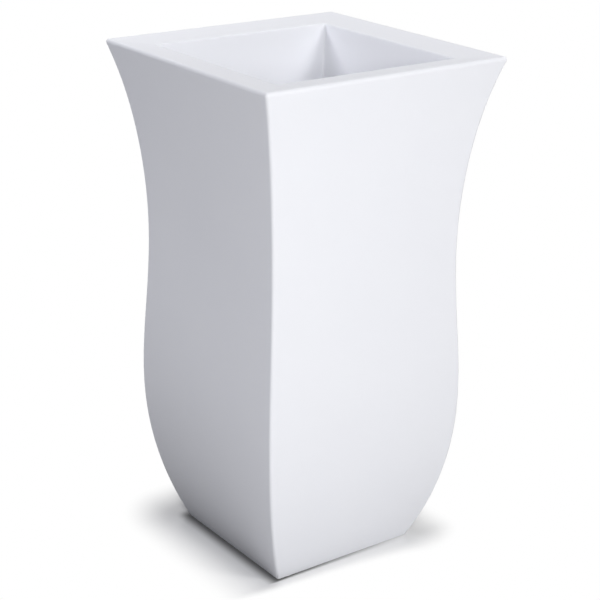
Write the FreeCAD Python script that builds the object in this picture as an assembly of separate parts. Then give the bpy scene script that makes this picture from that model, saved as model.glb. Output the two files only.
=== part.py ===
import FreeCAD, Part
import math
import os

from FreeCAD import Vector

# Tall square planter: a flared, double-walled outer shell, a drop-in planting liner with a
# holed soil grate, and a water reservoir in the base with an overflow standpipe.
# Millimetres, +Z up, -Y to the front, origin on the floor under the middle of the planter.

# Outer form: full widths of the square plan and the heights where they are reached
HEIGHT = 711.0
RIM_WIDTH = 384.0
WAIST_WIDTH = 306.2
BELLY_WIDTH = 319.4
FOOT_WIDTH = 227.8
WAIST_HEIGHT = 426.0
BELLY_HEIGHT = 185.0
HAUNCH_HEIGHT_SHARE = 0.626
HAUNCH_WIDTH_SHARE = 0.80
FLARE_HEIGHT_SHARE = 0.444
FLARE_WIDTH_SHARE = 0.143
EDGE_RADIUS = 4.0
FOOT_EDGE_RADIUS = 1.5
SHELL_WALL = 5.0
CAVITY_CORNER_RADIUS = 8.0

# Rim deck, and the collar that turns down inside the mouth to a ledge. The mouth is the wall's
# inside width at the waist less a margin, so that the liner passes the waist.
MOUTH_TO_WAIST_WALL = 7.1
DECK_FALL = 5.0
RIM_LAND = 7.0
LIP_LAND = 7.0
COLLAR_DEPTH = 120.0
COLLAR_DRAFT_DEGREES = 4.0
COLLAR_CORNER_RADIUS = 3.0
MOUTH_EDGE_RADIUS = 3.0
LEDGE_WIDTH = 11.0

# Hollow under the floor of the shell, with a boss in each corner for a foot
BASE_RECESS = 31.8
FOOT_RING_WIDTH = 15.0
FOOT_BOSS_WALL = 6.0
FOOT_BOSS_RADIUS = 8.0

# Rubber feet and their screws
PAD_DIAMETER = 26.0
PAD_INSET = 21.0
PAD_PROUD = 1.2
PAD_SOCKET_DEPTH = 4.0
PAD_SOCKET_CLEARANCE = 0.3
PAD_EDGE_RADIUS = 0.8
SCREW_DIAMETER = 4.0
SCREW_LENGTH = 15.0
SCREW_HEAD_DIAMETER = 8.0
SCREW_HEAD_HEIGHT = 2.4
SCREW_HEAD_SINK = 1.0
SCREW_DRIVE_WIDTH = 1.2
SCREW_DRIVE_DEPTH = 1.1
SCREW_PILOT_CLEARANCE = 0.05
SCREW_PILOT_OVERDEPTH = 2.0
SCREW_HOLE_CLEARANCE = 0.3

# Planting liner, which reaches from the ledge down to the top of the water reservoir
RESERVOIR_DEPTH = 128.0
LINER_WALL = 3.0
LINER_DRAFT_DEGREES = 3.0
LINER_CORNER_RADIUS = 18.0
LINER_LIP_THICKNESS = 4.0
LINER_LIP_CLEARANCE = 1.2
LINER_NECK_CLEARANCE = 1.2
LINER_SEAT_WIDTH = 11.0
LINER_SEAT_THICKNESS = 4.0
HAND_HOLE_WIDTH = 92.0
HAND_HOLE_HEIGHT = 26.0
HAND_HOLE_DROP = 20.0

# Soil grate
GRATE_THICKNESS = 4.0
GRATE_CLEARANCE = 1.2
GRATE_RIB_HEIGHT = 9.0
GRATE_RIB_WIDTH = 3.0
GRATE_RIB_CLEARANCE = 1.5
FINGER_HOLE_DIAMETER = 30.0
DRAIN_HOLE_DIAMETER = 7.0
DRAIN_HOLE_PITCH = 15.0
DRAIN_HOLE_LAND = 3.5

# Wick cups, each as wide as its quarter of the grate allows
CUP_PLACE_SHARE = 0.608
CUP_EDGE_LAND = 9.0
CUP_TAPER = 4.0
CUP_WALL = 2.2
CUP_FLANGE_WIDTH = 5.0
CUP_FLANGE_THICKNESS = 3.0
CUP_CLEARANCE = 0.4
CUP_FLOOR_GAP = 6.0
CUP_SLOT_WIDTH = 3.0
CUP_SLOT_PAIRS = 4
CUP_SLOT_START_SHARE = 0.1
CUP_SLOT_END_SHARE = 0.78
CUP_DRAIN_DIAMETER = 8.0

# Overflow standpipe with its strainer, gasket and nut
PIPE_DIAMETER = 26.0
PIPE_BORE = 20.0
PIPE_FLANGE_DIAMETER = 46.0
PIPE_FLANGE_THICKNESS = 4.0
PIPE_HOLE_CLEARANCE = 0.4
GASKET_THICKNESS = 2.5
GASKET_CLEARANCE = 0.2
NUT_HEIGHT = 8.0
NUT_ACROSS_FLATS = 40.0
THREAD_CLEARANCE = 0.08
PIPE_TAIL_OVERHANG = 2.0
STRAINER_WALL = 2.0
STRAINER_SKIRT = 10.0
STRAINER_RISE = 14.0
STRAINER_HEADROOM = 21.0
STRAINER_CLEARANCE = 0.15
STRAINER_SLOT_WIDTH = 3.0
STRAINER_SLOT_SILL = 2.0
STRAINER_SLOT_PAIRS = 4

# Drain plug and its seal
PLUG_PITCH = 2.5
PLUG_TURNS = 4
PLUG_HEAD_RIM = 2.0
PLUG_HEAD_THICKNESS = 4.0
PLUG_BAR_HEIGHT = 4.0
PLUG_BAR_WIDTH = 5.0
SEAL_THICKNESS = 2.0

# How far a cutting shape runs past the face it cuts
OVERRUN = 2.0

# Places that follow from the sizes above
BASE_Z = PAD_PROUD
FLOOR_UNDER_Z = BASE_Z + BASE_RECESS
FLOOR_TOP_Z = FLOOR_UNDER_Z + SHELL_WALL
DECK_LOW_Z = HEIGHT - DECK_FALL
LEDGE_Z = DECK_LOW_Z - COLLAR_DEPTH
RIM_HALF = RIM_WIDTH / 2
FOOT_HALF = FOOT_WIDTH / 2
MOUTH_HALF = WAIST_WIDTH / 2 - SHELL_WALL - MOUTH_TO_WAIST_WALL
COLLAR_SLOPE = math.tan(math.radians(COLLAR_DRAFT_DEGREES))
COLLAR_FOOT_HALF = MOUTH_HALF - COLLAR_DEPTH * COLLAR_SLOPE
LEDGE_HALF = COLLAR_FOOT_HALF - LEDGE_WIDTH
PAD_RADIUS = PAD_DIAMETER / 2
PAD_PLACE = FOOT_HALF - PAD_INSET
PAD_TOP_Z = BASE_Z + PAD_SOCKET_DEPTH
SCREW_SEAT_Z = SCREW_HEAD_SINK + SCREW_HEAD_HEIGHT
SCREW_TIP_Z = SCREW_SEAT_Z + SCREW_LENGTH
LINER_SLOPE = math.tan(math.radians(LINER_DRAFT_DEGREES))
LINER_TOP_HALF = LEDGE_HALF - LINER_NECK_CLEARANCE
LINER_FOOT_Z = FLOOR_TOP_Z + RESERVOIR_DEPTH
LINER_FOOT_HALF = LINER_TOP_HALF - (LEDGE_Z - LINER_FOOT_Z) * LINER_SLOPE
GRATE_Z = LINER_FOOT_Z + LINER_SEAT_THICKNESS
GRATE_TOP_Z = GRATE_Z + GRATE_THICKNESS
GRATE_RIB_FOOT_Z = GRATE_Z - GRATE_RIB_HEIGHT
LINER_SEAT_HALF = LINER_FOOT_HALF - LINER_WALL - LINER_SEAT_WIDTH
GRATE_HALF = LINER_FOOT_HALF + LINER_SEAT_THICKNESS * LINER_SLOPE - LINER_WALL - GRATE_CLEARANCE
GRATE_CORNER_RADIUS = LINER_CORNER_RADIUS - LINER_WALL
CUP_PLACE = GRATE_HALF * CUP_PLACE_SHARE
CUP_FLANGE_RADIUS = GRATE_HALF - CUP_EDGE_LAND - CUP_PLACE
CUP_RADIUS = CUP_FLANGE_RADIUS - CUP_FLANGE_WIDTH
CUP_FOOT_RADIUS = CUP_RADIUS - CUP_TAPER
CUP_FOOT_Z = FLOOR_TOP_Z + CUP_FLOOR_GAP
PIPE_RADIUS = PIPE_DIAMETER / 2
BORE_RADIUS = PIPE_BORE / 2
GASKET_TOP_Z = FLOOR_TOP_Z + GASKET_THICKNESS
PIPE_TOP_Z = GRATE_RIB_FOOT_Z - STRAINER_HEADROOM - STRAINER_RISE
NUT_FOOT_Z = FLOOR_UNDER_Z - NUT_HEIGHT
PIPE_TAIL_Z = NUT_FOOT_Z - PIPE_TAIL_OVERHANG
PLUG_STEM_RADIUS = BORE_RADIUS - THREAD_CLEARANCE
PLUG_STEM_LENGTH = PLUG_PITCH * PLUG_TURNS

# The four corners of the plan, as signs of X and Y
CORNERS = {
    "front_left": (-1, -1),
    "front_right": (1, -1),
    "back_left": (-1, 1),
    "back_right": (1, 1),
}


def between(low, high, share):
    """The value that lies the given share of the way from low to high."""
    return low + share * (high - low)


def outline_stations(inset):
    """Half-width and height of each station of the side outline, drawn in by the inset."""
    belly = BELLY_WIDTH / 2
    waist = WAIST_WIDTH / 2
    stations = [
        (FOOT_HALF, BASE_Z),
        (between(FOOT_HALF, belly, HAUNCH_WIDTH_SHARE), between(BASE_Z, BELLY_HEIGHT, HAUNCH_HEIGHT_SHARE)),
        (belly, BELLY_HEIGHT),
        (waist, WAIST_HEIGHT),
        (between(waist, RIM_HALF, FLARE_WIDTH_SHARE), between(WAIST_HEIGHT, HEIGHT, FLARE_HEIGHT_SHARE)),
        (RIM_HALF, HEIGHT),
    ]
    return [(half - inset, z) for half, z in stations]


def square_vase(stations):
    """Solid of square plan whose four sides follow one smooth curve through the stations."""
    curve = Part.BSplineCurve()
    curve.interpolate([Vector(half, 0, z) for half, z in stations])
    right = curve.toShape()
    left = right.mirror(Vector(0, 0, 0), Vector(1, 0, 0))
    foot_half, foot_z = stations[0]
    rim_half, rim_z = stations[-1]
    foot = Part.makeLine(Vector(-foot_half, 0, foot_z), Vector(foot_half, 0, foot_z))
    rim = Part.makeLine(Vector(-rim_half, 0, rim_z), Vector(rim_half, 0, rim_z))
    face = Part.Face(Part.Wire(Part.__sortEdges__([foot, right, rim, left])))
    reach = max(half for half, z in stations) + OVERRUN
    across = face.extrude(Vector(0, 2 * reach, 0))
    across.translate(Vector(0, -reach, 0))
    along = across.copy()
    along.rotate(Vector(0, 0, 0), Vector(0, 0, 1), 90)
    return across.common(along)


def square_wire(half, z):
    """Square of the given half-width at a height."""
    corners = [Vector(-half, -half, z), Vector(half, -half, z), Vector(half, half, z), Vector(-half, half, z)]
    return Part.makePolygon(corners + corners[:1])


def rounded_upright_edges(solid, radius):
    """The solid with every edge that climbs rounded to the radius."""
    climbing = [edge for edge in solid.Edges if edge.BoundBox.ZLength > OVERRUN / 2]
    return solid.makeFillet(radius, climbing)


def square_taper(low_half, low_z, high_half, high_z, radius):
    """Tapered block of square plan with rounded upright edges."""
    block = Part.makeLoft([square_wire(low_half, low_z), square_wire(high_half, high_z)], True, True)
    return rounded_upright_edges(block, radius)


def square_block(half, low_z, high_z, radius):
    """Straight block of square plan with rounded upright edges."""
    return square_taper(half, low_z, half, high_z, radius)


def disc(radius, low_z, high_z, x=0.0, y=0.0):
    """Upright cylinder between two heights."""
    return Part.makeCylinder(radius, high_z - low_z, Vector(x, y, low_z))


def ring(outer_radius, inner_radius, low_z, high_z):
    """Upright tube round the Z axis between two heights."""
    return disc(outer_radius, low_z, high_z).cut(disc(inner_radius, low_z - OVERRUN, high_z + OVERRUN))


def slot_bars(width, reach, low_z, high_z, pairs):
    """Upright bars across the Z axis, each of which cuts two opposite slots in a round wall."""
    bars = []
    for index in range(pairs):
        bar = Part.makeBox(2 * reach, width, high_z - low_z, Vector(-reach, -width / 2, low_z))
        bar.rotate(Vector(0, 0, 0), Vector(0, 0, 1), 180 * index / pairs)
        bars.append(bar)
    return bars


def at_corners(solid, place):
    """Copies of a solid on the Z axis, one moved to each corner at the given place in X and Y."""
    copies = []
    for sign_x, sign_y in CORNERS.values():
        copy = solid.copy()
        copy.translate(Vector(sign_x * place, sign_y * place, 0))
        copies.append(copy)
    return copies


def outer_body():
    """The filled outer form, with its deck dished to a flat land round the mouth."""
    body = square_vase(outline_stations(0))
    upper_edges = [edge for edge in body.Edges if edge.BoundBox.ZMax > BASE_Z + OVERRUN]
    body = body.makeFillet(EDGE_RADIUS, upper_edges)
    foot_edges = [edge for edge in body.Edges if edge.BoundBox.ZMax < BASE_Z + FOOT_EDGE_RADIUS / 2]
    body = body.makeFillet(FOOT_EDGE_RADIUS, foot_edges)
    low_half = MOUTH_HALF + LIP_LAND
    high_half = RIM_HALF - RIM_LAND
    climb = (high_half - low_half) * OVERRUN / DECK_FALL
    dish = Part.makeLoft([square_wire(low_half, DECK_LOW_Z),
                          square_wire(high_half + climb, HEIGHT + OVERRUN)], True, True)
    return body.cut(dish)


def mouth_cut():
    """The tapered space inside the collar, from its ledge up past the deck."""
    top_half = MOUTH_HALF + OVERRUN * COLLAR_SLOPE
    return square_taper(COLLAR_FOOT_HALF, LEDGE_Z, top_half, DECK_LOW_Z + OVERRUN, COLLAR_CORNER_RADIUS)


def collar_block():
    """The collar's outer form, filled, from the underside of its ledge to the deck."""
    low_z = LEDGE_Z - SHELL_WALL
    top_half = MOUTH_HALF + SHELL_WALL
    return square_taper(COLLAR_FOOT_HALF + SHELL_WALL, low_z, top_half, DECK_LOW_Z,
                        COLLAR_CORNER_RADIUS + SHELL_WALL)


def wall_cavity():
    """The hollow inside the outer wall, from the floor to the underside of the deck."""
    cavity = square_vase(outline_stations(SHELL_WALL))
    cavity = rounded_upright_edges(cavity, CAVITY_CORNER_RADIUS)
    low_z = FLOOR_TOP_Z
    high_z = DECK_LOW_Z - SHELL_WALL
    keep = Part.makeBox(RIM_WIDTH, RIM_WIDTH, high_z - low_z, Vector(-RIM_HALF, -RIM_HALF, low_z))
    return cavity.common(keep).cut(collar_block())


def base_recess():
    """The hollow under the floor, less the four bosses that take the feet."""
    half = FOOT_HALF - FOOT_RING_WIDTH
    recess = square_block(half, BASE_Z - OVERRUN, FLOOR_UNDER_Z, FOOT_BOSS_RADIUS)
    boss_half = PAD_RADIUS + FOOT_BOSS_WALL
    boss = square_block(boss_half, BASE_Z - 2 * OVERRUN, FLOOR_UNDER_Z + OVERRUN, FOOT_BOSS_RADIUS)
    fill = Part.makeBox(boss_half, boss_half, BASE_RECESS + 3 * OVERRUN, Vector(0, 0, BASE_Z - 2 * OVERRUN))
    bosses = []
    for sign_x, sign_y in CORNERS.values():
        web = fill.copy()
        web.translate(Vector(min(0, sign_x) * boss_half, min(0, sign_y) * boss_half, 0))
        moved = boss.fuse(web)
        moved.translate(Vector(sign_x * PAD_PLACE, sign_y * PAD_PLACE, 0))
        bosses.append(moved)
    return recess.cut(bosses)


def outer_shell():
    """Outer wall, rim deck, collar with its ledge, floor and foot bosses, moulded as one."""
    shell = outer_body().cut(mouth_cut())
    lip_edges = [edge for edge in shell.Edges
                 if edge.BoundBox.ZLength < OVERRUN / 2
                 and abs(edge.CenterOfMass.z - DECK_LOW_Z) < OVERRUN / 2
                 and max(abs(edge.CenterOfMass.x), abs(edge.CenterOfMass.y)) < MOUTH_HALF + LIP_LAND / 2]
    shell = shell.makeFillet(MOUTH_EDGE_RADIUS, lip_edges)
    ledge_hole = square_block(LEDGE_HALF, LEDGE_Z - SHELL_WALL - OVERRUN, LEDGE_Z + OVERRUN,
                              LINER_CORNER_RADIUS)
    pipe_hole = disc(PIPE_RADIUS + PIPE_HOLE_CLEARANCE, FLOOR_UNDER_Z - OVERRUN, FLOOR_TOP_Z + OVERRUN)
    pad_socket = disc(PAD_RADIUS + PAD_SOCKET_CLEARANCE, BASE_Z - OVERRUN, PAD_TOP_Z)
    pilot = disc(SCREW_DIAMETER / 2 + SCREW_PILOT_CLEARANCE, BASE_Z, SCREW_TIP_Z + SCREW_PILOT_OVERDEPTH)
    cuts = [wall_cavity(), ledge_hole, base_recess(), pipe_hole]
    cuts += at_corners(pad_socket, PAD_PLACE) + at_corners(pilot, PAD_PLACE)
    return shell.cut(cuts)


def planting_liner():
    """Tapered pot with a lip that hangs on the collar's ledge, a seat for the grate and two hand holes."""
    outside = square_taper(LINER_FOOT_HALF, LINER_FOOT_Z, LINER_TOP_HALF, LEDGE_Z, LINER_CORNER_RADIUS)
    lip_half = COLLAR_FOOT_HALF - LINER_LIP_CLEARANCE
    lip_top_z = LEDGE_Z + LINER_LIP_THICKNESS
    lip = square_block(lip_half, LEDGE_Z, lip_top_z, LINER_CORNER_RADIUS)
    inner_radius = LINER_CORNER_RADIUS - LINER_WALL
    inside_top_half = LINER_TOP_HALF - LINER_WALL + (LINER_LIP_THICKNESS + OVERRUN) * LINER_SLOPE
    inside_foot_half = LINER_FOOT_HALF - LINER_WALL + LINER_SEAT_THICKNESS * LINER_SLOPE
    inside = square_taper(inside_foot_half, GRATE_Z, inside_top_half, lip_top_z + OVERRUN, inner_radius)
    outlet = square_block(LINER_SEAT_HALF, LINER_FOOT_Z - OVERRUN, GRATE_Z + OVERRUN, inner_radius)
    hole_z = LEDGE_Z - HAND_HOLE_DROP - HAND_HOLE_HEIGHT / 2
    hole_radius = HAND_HOLE_HEIGHT / 2
    end_place = HAND_HOLE_WIDTH / 2 - hole_radius
    hand_hole = Part.makeBox(2 * RIM_HALF, 2 * end_place, HAND_HOLE_HEIGHT,
                             Vector(-RIM_HALF, -end_place, hole_z - hole_radius))
    ends = [Part.makeCylinder(hole_radius, 2 * RIM_HALF, Vector(-RIM_HALF, sign * end_place, hole_z),
                              Vector(1, 0, 0)) for sign in (-1, 1)]
    return outside.fuse(lip).cut([inside, outlet, hand_hole] + ends).removeSplitter()


def soil_grate():
    """Holed plate on the liner's seat, with cup holes, a finger hole and stiffening ribs below."""
    plate = square_block(GRATE_HALF, GRATE_Z, GRATE_TOP_Z, GRATE_CORNER_RADIUS)
    finger_radius = FINGER_HOLE_DIAMETER / 2
    collar_radius = finger_radius + GRATE_RIB_WIDTH
    rib_reach = LINER_SEAT_HALF - GRATE_RIB_CLEARANCE
    rib_x = Part.makeBox(2 * rib_reach, GRATE_RIB_WIDTH, GRATE_RIB_HEIGHT,
                         Vector(-rib_reach, -GRATE_RIB_WIDTH / 2, GRATE_RIB_FOOT_Z))
    rib_y = rib_x.copy()
    rib_y.rotate(Vector(0, 0, 0), Vector(0, 0, 1), 90)
    grate = plate.fuse([rib_x, rib_y, disc(collar_radius, GRATE_RIB_FOOT_Z, GRATE_Z)])
    cup_hole_radius = CUP_RADIUS + CUP_CLEARANCE
    cuts = [disc(finger_radius, GRATE_RIB_FOOT_Z - OVERRUN, GRATE_TOP_Z + OVERRUN)]
    cuts += at_corners(disc(cup_hole_radius, GRATE_RIB_FOOT_Z - OVERRUN, GRATE_TOP_Z + OVERRUN), CUP_PLACE)
    hole_radius = DRAIN_HOLE_DIAMETER / 2
    reach = LINER_SEAT_HALF - hole_radius
    count = int(reach / DRAIN_HOLE_PITCH)
    for column in range(-count, count + 1):
        for row in range(-count, count + 1):
            x = column * DRAIN_HOLE_PITCH
            y = row * DRAIN_HOLE_PITCH
            to_cup = math.hypot(abs(x) - CUP_PLACE, abs(y) - CUP_PLACE)
            to_rib = min(abs(x), abs(y))
            clear_of_cup = to_cup > CUP_FLANGE_RADIUS + DRAIN_HOLE_LAND + hole_radius
            clear_of_rib = to_rib > GRATE_RIB_WIDTH / 2 + DRAIN_HOLE_LAND + hole_radius
            clear_of_collar = math.hypot(x, y) > collar_radius + DRAIN_HOLE_LAND + hole_radius
            if clear_of_cup and clear_of_rib and clear_of_collar:
                cuts.append(disc(hole_radius, GRATE_Z - OVERRUN, GRATE_TOP_Z + OVERRUN, x, y))
    return grate.cut(cuts)


def wick_cup():
    """Slotted, tapered cup on the Z axis, with a flange that rests on the grate."""
    length = GRATE_TOP_Z - CUP_FOOT_Z
    outside = Part.makeCone(CUP_FOOT_RADIUS, CUP_RADIUS, length, Vector(0, 0, CUP_FOOT_Z))
    flange = disc(CUP_FLANGE_RADIUS, GRATE_TOP_Z, GRATE_TOP_Z + CUP_FLANGE_THICKNESS)
    inside = Part.makeCone(CUP_FOOT_RADIUS - CUP_WALL, CUP_RADIUS - CUP_WALL, length - CUP_WALL,
                           Vector(0, 0, CUP_FOOT_Z + CUP_WALL))
    throat = disc(CUP_RADIUS - CUP_WALL, GRATE_TOP_Z, GRATE_TOP_Z + CUP_FLANGE_THICKNESS + OVERRUN)
    drain = disc(CUP_DRAIN_DIAMETER / 2, CUP_FOOT_Z - OVERRUN, CUP_FOOT_Z + CUP_WALL + OVERRUN)
    slot_low_z = between(CUP_FOOT_Z, GRATE_Z, CUP_SLOT_START_SHARE)
    slot_high_z = between(CUP_FOOT_Z, GRATE_Z, CUP_SLOT_END_SHARE)
    slots = slot_bars(CUP_SLOT_WIDTH, CUP_RADIUS + OVERRUN, slot_low_z, slot_high_z, CUP_SLOT_PAIRS)
    return outside.fuse(flange).cut([inside, throat, drain] + slots)


def overflow_standpipe():
    """Upright pipe with a flange above the floor and a tail that passes through it."""
    pipe = disc(PIPE_RADIUS, PIPE_TAIL_Z, PIPE_TOP_Z)
    flange = disc(PIPE_FLANGE_DIAMETER / 2, GASKET_TOP_Z, GASKET_TOP_Z + PIPE_FLANGE_THICKNESS)
    bore = disc(BORE_RADIUS, PIPE_TAIL_Z - OVERRUN, PIPE_TOP_Z + OVERRUN)
    return pipe.fuse(flange).cut(bore)


def standpipe_strainer():
    """Slotted cap pushed over the top of the standpipe."""
    inner_radius = PIPE_RADIUS + STRAINER_CLEARANCE
    top_z = PIPE_TOP_Z + STRAINER_RISE
    skirt_z = PIPE_TOP_Z - STRAINER_SKIRT
    cap = disc(inner_radius + STRAINER_WALL, skirt_z, top_z)
    sleeve = disc(inner_radius, skirt_z - OVERRUN, PIPE_TOP_Z)
    chamber = disc(BORE_RADIUS, PIPE_TOP_Z - OVERRUN, top_z - STRAINER_WALL)
    slots = slot_bars(STRAINER_SLOT_WIDTH, PIPE_DIAMETER, PIPE_TOP_Z + STRAINER_SLOT_SILL,
                      top_z - STRAINER_WALL, STRAINER_SLOT_PAIRS)
    return cap.cut([sleeve, chamber] + slots)


def standpipe_gasket():
    """Flat ring between the standpipe's flange and the floor."""
    return ring(PIPE_FLANGE_DIAMETER / 2, PIPE_RADIUS + GASKET_CLEARANCE, FLOOR_TOP_Z, GASKET_TOP_Z)


def standpipe_nut():
    """Six-sided nut under the floor, with its corners turned off."""
    corner_radius = NUT_ACROSS_FLATS / math.sqrt(3)
    points = [Vector(corner_radius * math.cos(math.radians(60 * side)),
                     corner_radius * math.sin(math.radians(60 * side)), NUT_FOOT_Z) for side in range(6)]
    hexagon = Part.Face(Part.makePolygon(points + points[:1])).extrude(Vector(0, 0, NUT_HEIGHT))
    turned = Part.makeCone(NUT_ACROSS_FLATS / 2, NUT_ACROSS_FLATS / 2 + NUT_HEIGHT, NUT_HEIGHT,
                           Vector(0, 0, NUT_FOOT_Z))
    bore = disc(PIPE_RADIUS + THREAD_CLEARANCE, NUT_FOOT_Z - OVERRUN, FLOOR_UNDER_Z + OVERRUN)
    return hexagon.common(turned).cut(bore)


def drain_plug_seal():
    """Flat ring between the plug's head and the end of the standpipe."""
    return ring(PIPE_RADIUS, PLUG_STEM_RADIUS + GASKET_CLEARANCE, PIPE_TAIL_Z - SEAL_THICKNESS, PIPE_TAIL_Z)


def drain_plug():
    """Plug whose stem screws into the standpipe from below, with a bar across its head to turn it by."""
    head_top_z = PIPE_TAIL_Z - SEAL_THICKNESS
    head_foot_z = head_top_z - PLUG_HEAD_THICKNESS
    head_radius = PIPE_RADIUS + PLUG_HEAD_RIM
    stem = disc(PLUG_STEM_RADIUS, head_top_z, PIPE_TAIL_Z + PLUG_STEM_LENGTH)
    head = disc(head_radius, head_foot_z, head_top_z)
    bar = Part.makeBox(2 * head_radius, PLUG_BAR_WIDTH, PLUG_BAR_HEIGHT,
                       Vector(-head_radius, -PLUG_BAR_WIDTH / 2, head_foot_z - PLUG_BAR_HEIGHT))
    bar = bar.common(disc(head_radius, head_foot_z - PLUG_BAR_HEIGHT, head_foot_z))
    return head.fuse([stem, bar]).removeSplitter()


def foot_pad():
    """Rubber foot on the Z axis, with a sunk hole for its screw."""
    body = disc(PAD_RADIUS, 0, PAD_TOP_Z)
    floor_edges = [edge for edge in body.Edges if edge.BoundBox.ZMax < BASE_Z / 2]
    body = body.makeFillet(PAD_EDGE_RADIUS, floor_edges)
    well = disc(SCREW_HEAD_DIAMETER / 2 + SCREW_HOLE_CLEARANCE, -OVERRUN, SCREW_SEAT_Z)
    hole = disc(SCREW_DIAMETER / 2 + SCREW_HOLE_CLEARANCE, 0, PAD_TOP_Z + OVERRUN)
    return body.cut([well, hole])


def foot_screw():
    """Cross-headed screw on the Z axis, driven up through a foot."""
    head = disc(SCREW_HEAD_DIAMETER / 2, SCREW_HEAD_SINK, SCREW_SEAT_Z)
    shank = disc(SCREW_DIAMETER / 2, SCREW_SEAT_Z, SCREW_TIP_Z)
    drive = slot_bars(SCREW_DRIVE_WIDTH, SCREW_DIAMETER / 2, SCREW_HEAD_SINK - OVERRUN,
                      SCREW_HEAD_SINK + SCREW_DRIVE_DEPTH, 2)
    return head.fuse(shank).cut(drive)


def build():
    """Every node's shape by name."""
    nodes = {
        "outer_shell": outer_shell(),
        "planting_liner": planting_liner(),
        "soil_grate": soil_grate(),
        "overflow_standpipe": overflow_standpipe(),
        "standpipe_strainer": standpipe_strainer(),
        "standpipe_gasket": standpipe_gasket(),
        "standpipe_nut": standpipe_nut(),
        "drain_plug": drain_plug(),
        "drain_plug_seal": drain_plug_seal(),
        "foot_screws": Part.makeCompound(at_corners(foot_screw(), PAD_PLACE)),
    }
    for name, cup in zip(CORNERS, at_corners(wick_cup(), CUP_PLACE)):
        nodes["wick_cup_" + name] = cup
    for name, pad in zip(CORNERS, at_corners(foot_pad(), PAD_PLACE)):
        nodes["foot_pad_" + name] = pad
    return nodes


os.makedirs("parts", exist_ok=True)
for node_name, shape in build().items():
    shape.exportStep("parts/" + node_name + ".step")
    print(node_name, "solids", len(shape.Solids), "valid", shape.isValid(), "volume", round(shape.Volume))
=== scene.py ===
import math

import bmesh
import bpy
from mathutils import Matrix, Vector
from mathutils.bvhtree import BVHTree
from numpy.polynomial import Polynomial


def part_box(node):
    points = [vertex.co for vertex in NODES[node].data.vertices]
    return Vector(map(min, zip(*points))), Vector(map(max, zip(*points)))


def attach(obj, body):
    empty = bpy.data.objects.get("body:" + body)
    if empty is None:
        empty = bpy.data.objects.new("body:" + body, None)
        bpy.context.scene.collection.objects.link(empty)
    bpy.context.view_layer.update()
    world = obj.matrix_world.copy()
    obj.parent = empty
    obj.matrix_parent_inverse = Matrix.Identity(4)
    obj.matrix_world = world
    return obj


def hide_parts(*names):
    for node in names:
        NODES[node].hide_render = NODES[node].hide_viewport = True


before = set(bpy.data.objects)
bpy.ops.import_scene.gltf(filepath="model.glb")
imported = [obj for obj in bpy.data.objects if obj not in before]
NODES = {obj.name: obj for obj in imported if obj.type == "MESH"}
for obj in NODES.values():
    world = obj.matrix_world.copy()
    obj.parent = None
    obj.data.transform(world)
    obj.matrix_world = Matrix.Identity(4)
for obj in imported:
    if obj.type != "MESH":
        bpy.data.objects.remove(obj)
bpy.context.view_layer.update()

# Tall square planter, finished: the white moulded shell, its lift-out planting liner with the soil
# grate and wick cups, and the drain set. Metres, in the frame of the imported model.

# Sizes of the shell, as it is moulded
EDGE_RADIUS = 0.004
FOOT_EDGE = 0.0015
SHELL_WALL = 0.005
CAVITY_CORNER = 0.008
RIM_LAND = 0.007
LIP_LAND = 0.007
DECK_FALL = 0.005
COLLAR_DEPTH = 0.120
COLLAR_CORNER = 0.003
LIP_RADIUS = 0.003
LEDGE_WIDTH = 0.011
BASE_RECESS = 0.0318
FOOT_RING = 0.015
BOSS_WALL = 0.006
BOSS_CORNER = 0.008
SOFT_EDGE = 0.0008
PAD_GAP = 0.0003
PILOT_RADIUS = 0.00205
PILOT_OVERDEPTH = 0.002

# Sizes of the planting liner
LINER_WALL = 0.003
LINER_CORNER = 0.018
LINER_SEAT_WIDTH = 0.011
LINER_SEAT = 0.004
SEAT_GAP = 0.00005
LINER_NECK_GAP = 0.0012
LINER_DRAFT_DEGREES = 3.0
HAND_HOLE_WIDTH = 0.092
HAND_HOLE_HEIGHT = 0.026
HAND_HOLE_DROP = 0.020
RIB_RADIUS = 0.002
RIB_PLACES = (-0.060, 0.0, 0.060)
RIB_DROP = 0.070
RIB_FOOT_RISE = 0.014

# Sizes of the small raised details of the grate and the plug
HOLE_PITCH = 0.015
HOLE_RADIUS = 0.0035
FINGER_HOLE_RADIUS = 0.015
RIM_RADIUS = 0.0009
RIM_GAP = 0.0002
PLUG_BAR_HEIGHT = 0.004
PLUG_HEAD_THICKNESS = 0.004
GRIP_RADIUS = 0.0007
GRIP_COUNT = 30

# How finely the pieces are divided: steps round a corner, an edge, a hole's end and a bar, and up a wall
CORNER_STEPS = 8
EDGE_STEPS = 6
HAND_HOLE_STEPS = 16
RIM_STEPS = 24
RIB_SIDES = 10
WALL_STEP = 0.008

# A flat stretch of this length, or of this share of a short side, holds the faces flat beside a rounding
HOLD = 0.002
HOLD_SHARE = 0.3

# Points closer than this are one point, and faces that bend by more than these angles meet in an edge
WELD = 0.00002
SHARP_ANGLE = math.radians(28)
BAR_SHARP_ANGLE = 2 * SHARP_ANGLE

# How the CAD solids are measured: the number of heights, the degree of the curve through them, a
# distance that is well outside the planter, how far above the grate a ray starts, and how far a ray
# steps past a face that it has met
WALL_SAMPLES = 90
WALL_DEGREE = 11
OUTSIDE = 1.0
RAY_START = 0.002
RAY_SKIP = 0.00002

QUARTER_TURN = math.pi / 2


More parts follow.
